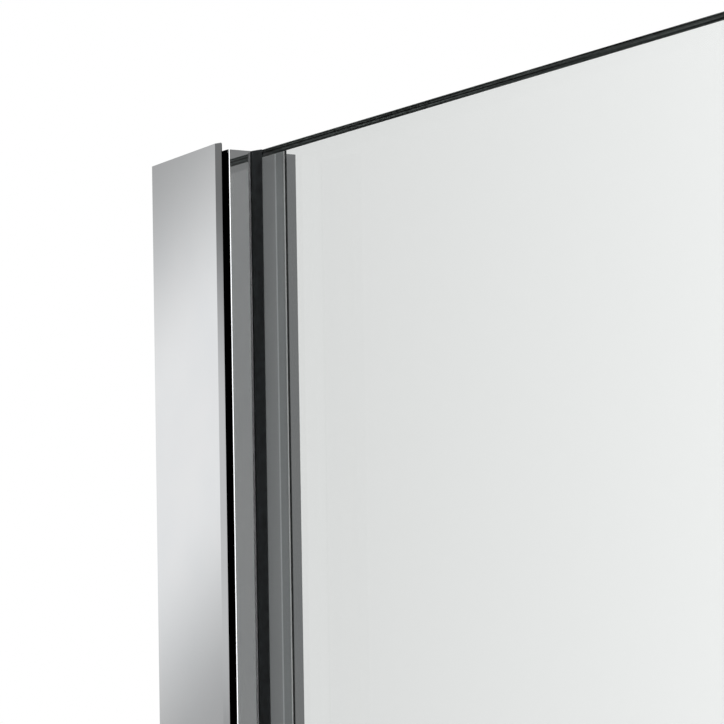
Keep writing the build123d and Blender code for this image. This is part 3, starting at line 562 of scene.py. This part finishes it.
# Toughened soda-lime float glass: clear, with a breath of green through its thickness.
CLEAR_GLASS = FloatGlass("Toughened_float_glass", "FAFCFB", roughness=0.0, wave_mm=0.001)
# The pane's ground edge seen from inside the glass, matt: painted shade of almost black green,
# with light streaks that are painted reflections.
GROUND_EDGE = GroundEdge(
    "Ground_glass_edge",
    "030404",
    roughness=0.6,
    painted_reflection="747A79",
    streak_mm=1.6,
)
# Black EPDM rubber: soft, matt, with a slightly dusty skin.
BLACK_RUBBER = Moulded(
    "Black_EPDM_rubber",
    "101214",
    roughness=0.62,
    drift="272B2D",
    mottle_mm=1.1,
    depth_mm=0.03,
    gloss=0.4,
)
# The same rubber with a grey slip coat on the face that lies on the glass. It shows through
# the pane as lighter and darker stripes, two of them painted highlights, and it glows faintly
# as painted light. That it is a coated gasket is a guess.
SLIP_COAT_WITH_PAINTED_LIGHT = SlipCoatWithPaintedLight("Grey_slip_coat_with_painted_light_on_EPDM", "BDBFC1", roughness=0.7)
# Flexible magnet strip: a black rubber filled with ferrite, smoother and a little browner.
MAGNET_STRIP = Moulded(
    "Ferrite_magnet_strip",
    "121110",
    roughness=0.48,
    drift="1E1C1B",
    mottle_mm=1.6,
    depth_mm=0.01,
    gloss=0.4,
)
# Clear flexible PVC of shower seals: milky where it is thick, with a soft shine.
CLEAR_VINYL = Moulded(
    "Clear_flexible_PVC",
    "EFF3F2",
    roughness=0.16,
    drift="E6ECEA",
    mottle_mm=6.0,
    depth_mm=0.01,
    gloss=0.5,
    see_through=0.86,
)
# Turned or moulded nylon of sleeves and washers: off-white and matt, like a candle.
WHITE_NYLON = Moulded(
    "White_nylon",
    "DDDCD6",
    roughness=0.46,
    drift="D2D0C8",
    mottle_mm=2.2,
    depth_mm=0.01,
    gloss=0.4,
)
# Grey moulded ABS of caps: an even satin with a fine spark-eroded texture.
GREY_ABS = Moulded(
    "Grey_ABS",
    "8B8E90",
    roughness=0.36,
    drift="838688",
    mottle_mm=0.7,
    depth_mm=0.02,
)
# Machined acetal of the rollers: dense, dark and slightly waxy.
DARK_ACETAL = Moulded(
    "Machined_dark_acetal",
    "1C1C1E",
    roughness=0.33,
    drift="27272A",
    mottle_mm=0.9,
    depth_mm=0.006,
)


@dataclass
class SubAssembly:
    """A named group of the part's pieces that is dressed together."""

    frame: Frame
    title: ClassVar[str] = "sub-assembly"
    sharp_degrees: ClassVar[float] = 35.0

    def node(self, name: str) -> bpy.types.Object:
        """Give the object of one CAD node."""
        return self.frame["nodes"][name]

    def dress(
        self,
        names: Sequence[str],
        finish: Finish,
        slot: Slot,
        edge_mm: float = 0.0,
        smooth: bool = True,
    ) -> None:
        """Give CAD nodes their finish, and round their sharp edges for the light.

        Args:
            names: The nodes.
            finish: What they are made of.
            slot: The record's material slot; not used.
            edge_mm: Width of the fine bevel that catches the light, or 0 for none.
            smooth: Whether shallow edges are shaded as one surface.
        """
        for name in names:
            piece = self.node(name)
            piece.data.materials.clear()
            piece.data.materials.append(finish.material())
            for face in piece.data.polygons:
                face.use_smooth = smooth
                face.material_index = 0
            if edge_mm:
                bevel = piece.modifiers.new("fine_edge", "BEVEL")
                bevel.width = edge_mm * MM
                bevel.segments = 2
                bevel.limit_method = "ANGLE"
                bevel.angle_limit = math.radians(self.sharp_degrees)
                bevel.use_clamp_overlap = True
                bevel.harden_normals = True
            LOG.info("%s: %s in %s", self.title, name, finish.name)

    def refinish(
        self, name: str, finish: Finish, chosen: Callable[[bpy.types.MeshPolygon], bool]
    ) -> None:
        """Give some faces of a dressed node a second finish.

        Args:
            name: The node.
            finish: The second finish.
            chosen: Says for each face whether it takes it.
        """
        mesh = self.node(name).data
        mesh.materials.append(finish.material())
        second = len(mesh.materials) - 1
        for face in mesh.polygons:
            if chosen(face):
                face.material_index = second

    def build(self) -> None:
        """Build and dress the group; each group has its own."""
        raise NotImplementedError


def faces_up_or_down(face: bpy.types.MeshPolygon) -> bool:
    """Tell whether a face is a sawn end of an upright extrusion."""
    return abs(face.normal.z) > FACING


def faces_sideways(face: bpy.types.MeshPolygon) -> bool:
    """Tell whether a face is a sawn end of an extrusion that lies along X."""
    return abs(face.normal.x) > FACING


def is_pane_edge(face: bpy.types.MeshPolygon) -> bool:
    """Tell whether a face is part of a pane's ground edge and not of its two wide faces."""
    return abs(face.normal.y) < FACING


def faces_the_pane(face: bpy.types.MeshPolygon) -> bool:
    """Tell whether a face of the rear gasket lies on the glass."""
    return face.normal.y < -FACING


def rounds_the_mouth(face: bpy.types.MeshPolygon) -> bool:
    """Tell whether a face is part of the small round at the profile's mouth."""
    at_the_mouth = MOUTH_MM[0] * MM < abs(face.center.y) < MOUTH_MM[1] * MM
    rounded = SQUARE < face.normal.x < ROUND
    return at_the_mouth and rounded and abs(face.normal.z) < SQUARE


def lies_in_the_gap(face: bpy.types.MeshPolygon) -> bool:
    """Tell whether an upright face is inside the gap between channel and profile."""
    if faces_up_or_down(face):
        return False
    ahead_mm = -face.center.y / MM
    towards_profile = face.normal.y > LEANING and ahead_mm > GAP_EDGE_MM
    towards_channel = face.normal.y < -FACING and 0 < ahead_mm < GAP_FRONT_MM
    deep = face.normal.x > FACING and face.center.x < GAP_DEPTH_MM * MM
    return deep or towards_profile or towards_channel


@dataclass
class WallSide(SubAssembly):
    """The left wall channel, the profile that grips the glass, its gaskets and its screws."""

    title: ClassVar[str] = "wall side"

    def build(self) -> None:
        """Dress the group."""
        self.dress(["wall_channel_left"], BRIGHT_ALUMINIUM, Slot.ALUMINIUM, FINE_EDGE_MM)
        self.dress(["glazing_profile"], BRIGHT_ALUMINIUM, Slot.ALUMINIUM)
        for name in ("wall_channel_left", "glazing_profile"):
            self.refinish(name, SAWN_ALUMINIUM, faces_up_or_down)
            # Painted shade: faces inside the gap between channel and profile take a near-black
            # finish.
            self.refinish(name, PAINTED_GAP_SHADE, lies_in_the_gap)
        self.dress(["glazing_gasket_front", "glazing_gasket_rear"], BLACK_RUBBER, Slot.RUBBER)
        # The rear gasket's face on the glass: grey coat with painted highlight stripes and
        # painted glow.
        self.refinish("glazing_gasket_rear", SLIP_COAT_WITH_PAINTED_LIGHT, faces_the_pane)
        # Painted highlight: the round at the profile's mouth takes a pale satin metal.
        self.refinish("glazing_profile", PAINTED_MOUTH_HIGHLIGHT, rounds_the_mouth)
        self.dress(["clamp_screws"], TURNED_STEEL, Slot.PLAIN_STEEL, FINE_EDGE_MM)
        self.dress(["clamp_screw_caps"], GREY_ABS, Slot.GREY_PLASTIC)


@dataclass
class FixedPane(SubAssembly):
    """The fixed pane, what it stands on and the seal on its free edge."""

    title: ClassVar[str] = "fixed pane"

    def build(self) -> None:
        """Dress the group."""
        self.dress(["fixed_glass"], CLEAR_GLASS, Slot.GLASS, smooth=False)
        # The pane's edge takes painted shade with painted reflection streaks.
        self.refinish("fixed_glass", GROUND_EDGE, is_pane_edge)
        self.dress(["sill_channel"], BRIGHT_ALUMINIUM_FLAT, Slot.ALUMINIUM, SMALL_EDGE_MM)
        self.refinish("sill_channel", SAWN_ALUMINIUM, faces_sideways)
        self.dress(["sill_gaskets"], BLACK_RUBBER, Slot.RUBBER)
        self.dress(["setting_blocks"], WHITE_NYLON, Slot.NYLON, MOULDED_EDGE_MM)
        self.dress(["sill_end_cap"], GREY_ABS, Slot.GREY_PLASTIC, MOULDED_EDGE_MM)
        self.dress(["fixed_edge_seal"], CLEAR_VINYL, Slot.VINYL, FINE_EDGE_MM)


@dataclass
class Rail(SubAssembly):
    """The rail bar with its brackets, its fixings through the pane and its stops."""

    title: ClassVar[str] = "rail"

    def build(self) -> None:
        """Dress the group."""
        self.dress(["rail_bar"], GROUND_STEEL, Slot.STEEL)
        brackets = ["rail_bracket_left", "rail_bracket_right", "rail_stops"]
        self.dress(brackets, MIRROR_STEEL, Slot.STEEL, BRACKET_EDGE_MM)
        self.dress(["rail_standoffs", "clamp_plates"], MIRROR_STEEL, Slot.STEEL, SMALL_EDGE_MM)
        self.dress(["rail_bolts", "set_screws"], TURNED_STEEL, Slot.PLAIN_STEEL, SMALL_EDGE_MM)
        self.dress(["fixing_washers", "fixing_sleeves"], WHITE_NYLON, Slot.NYLON)
        self.dress(["stop_buffers"], BLACK_RUBBER, Slot.RUBBER)


@dataclass
class StrikeSide(SubAssembly):
    """The right wall channel with the magnetic strike, the guide block and the threshold."""

    title: ClassVar[str] = "strike side"

    def build(self) -> None:
        """Dress the group."""
        self.dress(["wall_channel_right", "strike_profile"], BRIGHT_ALUMINIUM, Slot.ALUMINIUM)
        for name in ("wall_channel_right", "strike_profile"):
            self.refinish(name, SAWN_ALUMINIUM, faces_up_or_down)
        self.dress(["threshold_bar"], BRIGHT_ALUMINIUM_FLAT, Slot.ALUMINIUM)
        self.refinish("threshold_bar", SAWN_ALUMINIUM, faces_sideways)
        self.dress(["strike_magnet"], MAGNET_STRIP, Slot.MAGNET, SMALL_EDGE_MM)
        self.dress(["guide_block"], MIRROR_STEEL, Slot.STEEL, SMALL_EDGE_MM)
        self.dress(["guide_liners"], WHITE_NYLON, Slot.NYLON, SMALL_EDGE_MM)


@dataclass
class Door(SubAssembly):
    """The sliding pane with its seals, handles and the hangers that carry it."""

    title: ClassVar[str] = "door"

    def build(self) -> None:
        """Dress the group."""
        self.dress(["door_glass"], CLEAR_GLASS, Slot.GLASS, smooth=False)
        # The pane's edge takes painted shade with painted reflection streaks.
        self.refinish("door_glass", GROUND_EDGE, is_pane_edge)
        seals = ["door_edge_seal", "door_trailing_seal", "door_drip_seal"]
        self.dress(seals, CLEAR_VINYL, Slot.VINYL, FINE_EDGE_MM)
        self.dress(["door_magnet"], MAGNET_STRIP, Slot.MAGNET, SMALL_EDGE_MM)
        bright = ["roller_hubs", "roller_cap_nuts", "anti_lift_caps", "anti_lift_spacers"]
        self.dress(bright, MIRROR_STEEL, Slot.STEEL, SMALL_EDGE_MM)
        grips = ["handle_bar_outside", "handle_bar_inside", "handle_posts"]
        self.dress(grips, MIRROR_STEEL, Slot.STEEL)
        screws = ["axle_bolts", "anti_lift_bolts", "handle_studs", "handle_grub_screws"]
        self.dress(screws, TURNED_STEEL, Slot.PLAIN_STEEL, SMALL_EDGE_MM)
        self.dress(["bearing_inner_races"], TURNED_STEEL, Slot.PLAIN_STEEL)
        soft = [
            "eccentric_bushes",
            "roller_washers",
            "anti_lift_sleeves",
            "anti_lift_washers",
            "handle_washers",
            "handle_sleeves",
        ]
        self.dress(soft, WHITE_NYLON, Slot.NYLON)
        self.dress(["anti_lift_discs"], DARK_ACETAL, Slot.ACETAL)


@dataclass
class Wheel(SubAssembly):
    """One roller with the outer race and the balls of its bearing."""

    side: str = "left"
    title: ClassVar[str] = "wheel"

    def build(self) -> None:
        """Dress the group."""
        self.dress([f"roller_{self.side}"], DARK_ACETAL, Slot.ACETAL)
        races = [f"bearing_outer_{self.side}", f"bearing_balls_{self.side}"]
        self.dress(races, TURNED_STEEL, Slot.PLAIN_STEEL)


@dataclass(frozen=True)
class Glow:
    """A soft round patch of the studio, far from the screen, that is lighter or darker.

    Its two angles are in degrees from its middle: inside the inner one it has its full
    strength, which is below zero for a dark patch, and outside the outer one none.
    """

    azimuth: float
    elevation: float
    inner: float
    outer: float
    strength: float

    def add(
        self, tree: bpy.types.NodeTree, direction: bpy.types.NodeSocket
    ) -> bpy.types.NodeSocket:
        """Add the nodes that give what it adds to the light from a direction.

        Args:
            tree: The world's node tree.
            direction: The direction from the screen.

        Returns:
            The strength output.
        """
        flat = math.cos(math.radians(self.elevation))
        towards = (
            flat * math.cos(math.radians(self.azimuth)),
            flat * math.sin(math.radians(self.azimuth)),
            math.sin(math.radians(self.elevation)),
        )
        facing = add_node(
            tree,
            "ShaderNodeVectorMath",
            {"operation": "DOT_PRODUCT", 1: towards},
            {0: direction},
        )
        soft = add_node(
            tree,
            "ShaderNodeMapRange",
            {
                "interpolation_type": "SMOOTHSTEP",
                "From Min": math.cos(math.radians(self.outer)),
                "From Max": math.cos(math.radians(self.inner)),
                "To Min": 0.0,
                "To Max": self.strength,
            },
            {"Value": facing.outputs["Value"]},
        )
        return soft.outputs["Result"]


@dataclass(frozen=True)
class StudioCard:
    """A curved lit card beside the screen that the polished faces mirror.

    The card is brightest along one height and fades above and below it. A slant moves that
    height up from one side of the card to the other.
    """

    name: str
    azimuth: float
    half_width: float
    radius_mm: float
    peak_mm: float
    inner_mm: float
    outer_mm: float
    low: float
    high: float
    slant: float
    reach_mm: float = 150.0
    steps: ClassVar[int] = 24

    def build(self) -> None:
        """Build the card's mesh and light it."""
        steps = self.steps
        centre = math.radians(self.azimuth)
        half = math.radians(self.half_width)
        radius = self.radius_mm * MM
        top = (self.peak_mm + self.reach_mm) * MM
        foot = (self.peak_mm - self.reach_mm) * MM
        points = []
        for step in range(steps + 1):
            angle = centre - half + 2 * half * step / steps
            x, y = radius * math.cos(angle), radius * math.sin(angle)
            points += [(x, y, foot), (x, y, top)]
        quads = [(2 * i, 2 * i + 2, 2 * i + 3, 2 * i + 1) for i in range(steps)]
        mesh = bpy.data.meshes.new(self.name)
        mesh.from_pydata(points, [], quads)
        sweep = mesh.attributes.new("sweep", "FLOAT", "POINT")
        for index in range(len(points)):
            angle = -half + 2 * half * (index // 2) / steps
            sweep.data[index].value = radius * angle
        card = bpy.data.objects.new(self.name, mesh)
        bpy.context.scene.collection.objects.link(card)
        card.visible_camera = False
        card.visible_diffuse = False
        card.visible_shadow = False
        card.visible_transmission = False
        mesh.materials.append(self.light())

    def light(self) -> bpy.types.Material:
        """Make the card's glowing material.

        Returns:
            The material.
        """
        made = bpy.data.materials.new(self.name)
        made.use_nodes = True
        tree = made.node_tree
        tree.nodes.clear()
        place = add_node(tree, "ShaderNodeTexCoord")
        split = add_node(
            tree, "ShaderNodeSeparateXYZ", links={"Vector": place.outputs["Object"]}
        )
        sweep = add_node(tree, "ShaderNodeAttribute", {"attribute_name": "sweep"})
        lean = add_node(
            tree,
            "ShaderNodeMath",
            {"operation": "MULTIPLY_ADD", 1: -self.slant, 2: -self.peak_mm * MM},
            {0: sweep.outputs["Fac"]},
        )
        height = add_node(
            tree,
            "ShaderNodeMath",
            {"operation": "ADD"},
            {0: split.outputs["Z"], 1: lean.outputs[0]},
        )
        away = add_node(tree, "ShaderNodeMath", {"operation": "ABSOLUTE"}, {0: height.outputs[0]})
        fade = add_node(
            tree,
            "ShaderNodeMapRange",
            {
                "interpolation_type": "SMOOTHSTEP",
                "From Min": self.inner_mm * MM,
                "From Max": self.outer_mm * MM,
                "To Min": self.high,
                "To Max": self.low,
            },
            {"Value": away.outputs[0]},
        )
        glow = add_node(
            tree,
            "ShaderNodeEmission",
            {"Color": WHITE},
            {"Strength": fade.outputs["Result"]},
        )
        add_node(tree, "ShaderNodeOutputMaterial", links={"Surface": glow.outputs["Emission"]})
        return made


@dataclass(frozen=True)
class GlassView:
    """The backdrop that is seen through glass, which brightens towards one side.

    The direction's share along `across` goes from `start` to `end` while the strength goes from
    `dim` to `full`.
    """

    across: tuple[float, float, float] = (0.5, 0.866, 0.0)
    start: float = 0.008
    end: float = 0.0399
    dim: float = 0.874
    full: float = 1.051

    def add(
        self, tree: bpy.types.NodeTree, direction: bpy.types.NodeSocket
    ) -> bpy.types.NodeSocket:
        """Add the nodes that give its strength for a direction.

        Args:
            tree: The world's node tree.
            direction: The direction from the screen.

        Returns:
            The strength output.
        """
        side = add_node(
            tree,
            "ShaderNodeVectorMath",
            {"operation": "DOT_PRODUCT", 1: self.across},
            {0: direction},
        )
        ranged = add_node(
            tree,
            "ShaderNodeMapRange",
            {
                "From Min": self.start,
                "From Max": self.end,
                "To Min": self.dim,
                "To Max": self.full,
            },
            {"Value": side.outputs["Value"]},
        )
        return ranged.outputs["Result"]


@dataclass
class Studio:
    """The pale floor, the light from all round and the cards that the metal mirrors.

    Each kind of ray meets its own light. That isn't how a real room works: it is arranged for
    the view of the corner by the wall.
    """

    floor_half: float = 40.0
    floor_place: tuple[float, float, float] = (0.6, 0.0, -0.0005)
    ambient: float = 0.29
    soft_room: float = 0.95
    backdrop: float = 1.0
    glows: tuple[Glow, ...] = (
        Glow(azimuth=-6.0, elevation=10.0, inner=12.0, outer=21.0, strength=2.5),
        Glow(azimuth=-10.0, elevation=70.0, inner=20.0, outer=55.0, strength=0.9),
        Glow(azimuth=-149.0, elevation=9.0, inner=5.0, outer=10.0, strength=-0.24),
    )
    flags: tuple[Glow, ...] = (
        Glow(azimuth=30.0, elevation=9.0, inner=6.0, outer=13.0, strength=-0.77),
        Glow(azimuth=-150.0, elevation=9.0, inner=7.0, outer=14.0, strength=-0.80),
    )
    behind: GlassView = GlassView()
    cards: tuple[StudioCard, ...] = (
        StudioCard(
            "card_for_wide_face",
            azimuth=-160.5,
            half_width=8.5,
            radius_mm=500.0,
            peak_mm=1952.7,
            inner_mm=14.0,
            outer_mm=62.0,
            low=0.50,
            high=1.06,
            slant=1.2,
        ),
        StudioCard(
            "card_for_lip",
            azimuth=-112.0,
            half_width=12.0,
            radius_mm=500.0,
            peak_mm=1966.0,
            inner_mm=18.0,
            outer_mm=60.0,
            low=0.22,
            high=0.72,
            slant=0.0,
        ),
    )

    def build(self) -> None:
        """Build floor, sky and cards."""
        self.lay_floor()
        self.light_room()
        for card in self.cards:
            card.build()
            LOG.info("studio: %s", card.name)

    def lay_floor(self) -> None:
        """Lay a plain pale floor under the screen."""
        h = self.floor_half
        mesh = bpy.data.meshes.new("studio_floor")
        mesh.from_pydata([(-h, -h, 0), (h, -h, 0), (h, h, 0), (-h, h, 0)], [], [(0, 1, 2, 3)])
        floor = bpy.data.objects.new("studio_floor", mesh)
        bpy.context.scene.collection.objects.link(floor)
        floor.location = self.floor_place
        mesh.materials.append(
            Moulded(
                "Pale_studio_floor",
                "E4E4E3",
                roughness=0.6,
                drift="E0E0DF",
                mottle_mm=40.0,
                depth_mm=0.01,
                gloss=0.2,
            ).material()
        )
        LOG.info("studio: floor")

    def with_patches(
        self,
        tree: bpy.types.NodeTree,
        direction: bpy.types.NodeSocket,
        light: bpy.types.NodeSocket,
        patches: Sequence[Glow],
    ) -> bpy.types.NodeSocket:
        """Add lighter and darker patches to a light.

        Args:
            tree: The world's node tree.
            direction: The direction from the screen.
            light: The strength that they are added to.
            patches: The patches.

        Returns:
            The strength output of the sum.
        """
        for patch in patches:
            summed = add_node(
                tree,
                "ShaderNodeMath",
                {"operation": "ADD"},
                {0: light, 1: patch.add(tree, direction)},
            )
            light = summed.outputs[0]
        return light

    def light_room(self) -> None:
        """Light the room, with a strength of its own for each kind of ray.

        Mirrors see a darker room with patches, matt surfaces an even soft light, glass a
        backdrop that brightens to one side, and the camera a plain white one.
        """
        world = bpy.data.worlds.new("soft_studio")
        bpy.context.scene.world = world
        world.use_nodes = True
        tree = world.node_tree
        tree.nodes.clear()
        direction = add_node(tree, "ShaderNodeTexCoord").outputs["Generated"]
        room = add_node(tree, "ShaderNodeMath", {"operation": "ADD", 0: self.ambient, 1: 0.0})
        strength = self.with_patches(tree, direction, room.outputs[0], self.glows)
        backdrop = self.behind.add(tree, direction)
        through = self.with_patches(tree, direction, backdrop, self.flags)
        path = add_node(tree, "ShaderNodeLightPath")
        kinds = {
            "Is Transmission Ray": through,
            "Is Diffuse Ray": self.soft_room,
            "Is Camera Ray": self.backdrop,
        }
        for kind, light in kinds.items():
            chosen = add_node(
                tree,
                "ShaderNodeMix",
                {"data_type": "FLOAT"},
                {MIX_SHARE: path.outputs[kind], MIX_FIRST: strength},
            )
            if isinstance(light, bpy.types.NodeSocket):
                tree.links.new(light, chosen.inputs[MIX_SECOND])
            else:
                chosen.inputs[MIX_SECOND].default_value = light
            strength = chosen.outputs[0]
        seen = add_node(tree, "ShaderNodeBackground", {"Color": WHITE}, {"Strength": strength})
        add_node(tree, "ShaderNodeOutputWorld", links={"Surface": seen.outputs["Background"]})
        LOG.info("studio: light")


@dataclass
class PhotoCamera:
    """The camera of the close view up at the corner by the wall."""

    corner_mm: tuple[float, float, float] = (15.0, -5.0, 1947.0)
    towards_corner: tuple[float, float, float] = (-0.855, 0.493, 0.162)
    target_mm: tuple[float, float, float] = (27.0, 7.6, 1919.06)
    roll: float = 0.0165
    distance_mm: float = 1800.0
    frame_mm: float = 103.4
    sensor_mm: float = 36.0

    def build(self) -> None:
        """Place the camera and make it the scene's own."""
        line = Vector(self.towards_corner).normalized()
        place = Vector(self.corner_mm) - line * self.distance_mm
        ahead = (Vector(self.target_mm) - place).normalized()
        right = ahead.cross(Vector((0, 0, 1))).normalized()
        up = right.cross(ahead)
        turned_right = math.cos(self.roll) * right - math.sin(self.roll) * up
        turned_up = math.cos(self.roll) * up + math.sin(self.roll) * right
        data = bpy.data.cameras.new("photo_camera")
        data.sensor_width = self.sensor_mm
        data.lens = self.sensor_mm * self.distance_mm / self.frame_mm
        data.clip_start = 0.05
        data.clip_end = 200.0
        camera = bpy.data.objects.new("photo_camera", data)
        bpy.context.scene.collection.objects.link(camera)
        turn = Matrix((turned_right, turned_up, -ahead)).transposed().to_4x4()
        camera.matrix_world = Matrix.Translation(place * MM) @ turn
        bpy.context.scene.camera = camera
        LOG.info("camera: %.0f mm lens, %.2f m away", data.lens, self.distance_mm * MM)


def main() -> None:
    """Build the camera and the studio, and dress every group of the screen."""
    logging.basicConfig(level=logging.INFO, format="%(name)s %(message)s")
    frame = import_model()
    bpy.context.scene.view_settings.view_transform = "Standard"
    bpy.context.scene.view_settings.look = "None"
    PhotoCamera().build()
    Studio().build()
    groups = [
        WallSide(frame),
        FixedPane(frame),
        Rail(frame),
        StrikeSide(frame),
        Door(frame),
        Wheel(frame, side="left"),
        Wheel(frame, side="right"),
    ]
    for group in groups:
        group.build()
        LOG.info("%s is done", group.title)


if __name__ == "__main__":
    main()
